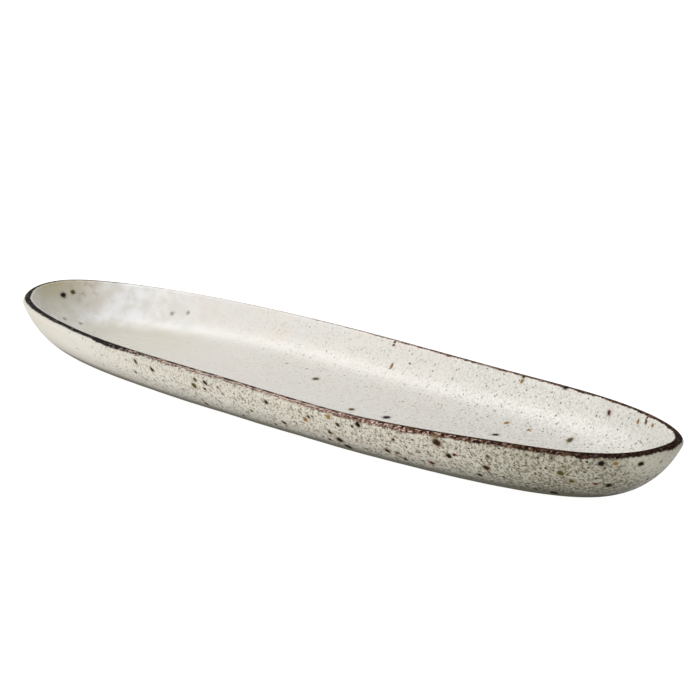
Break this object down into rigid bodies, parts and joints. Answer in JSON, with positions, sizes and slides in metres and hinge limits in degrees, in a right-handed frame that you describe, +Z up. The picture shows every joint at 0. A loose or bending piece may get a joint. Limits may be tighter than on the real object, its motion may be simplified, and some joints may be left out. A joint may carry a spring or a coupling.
{
  "type": "asparagus plate",
  "caption": "Long boat-shaped stoneware plate with rounded ends, low flaring walls, a speckled pale glaze and a brown rim, for serving asparagus.",
  "frame": {"origin": "on the table, under the middle of the plate, in the plane of the foot ring's resting face", "axes": "+X along the plate's length, +Y across it, +Z up"},
  "size_m": [0.4, 0.106, 0.0274],
  "materials": {
    "bare_clay": "bare fired stoneware, slightly rough",
    "pale_glaze": "satin warm white glaze with fine iron specks and larger brown spots",
    "brown_rim": "dark iron-brown glaze that breaks unevenly over the lip"
  },
  "bodies": {
    "root": {"stoneware_body": "bare_clay", "inside_glaze": "pale_glaze", "outside_glaze": "pale_glaze", "rim_band": "brown_rim", "base_glaze": "pale_glaze"}
  },
  "joints": []
}
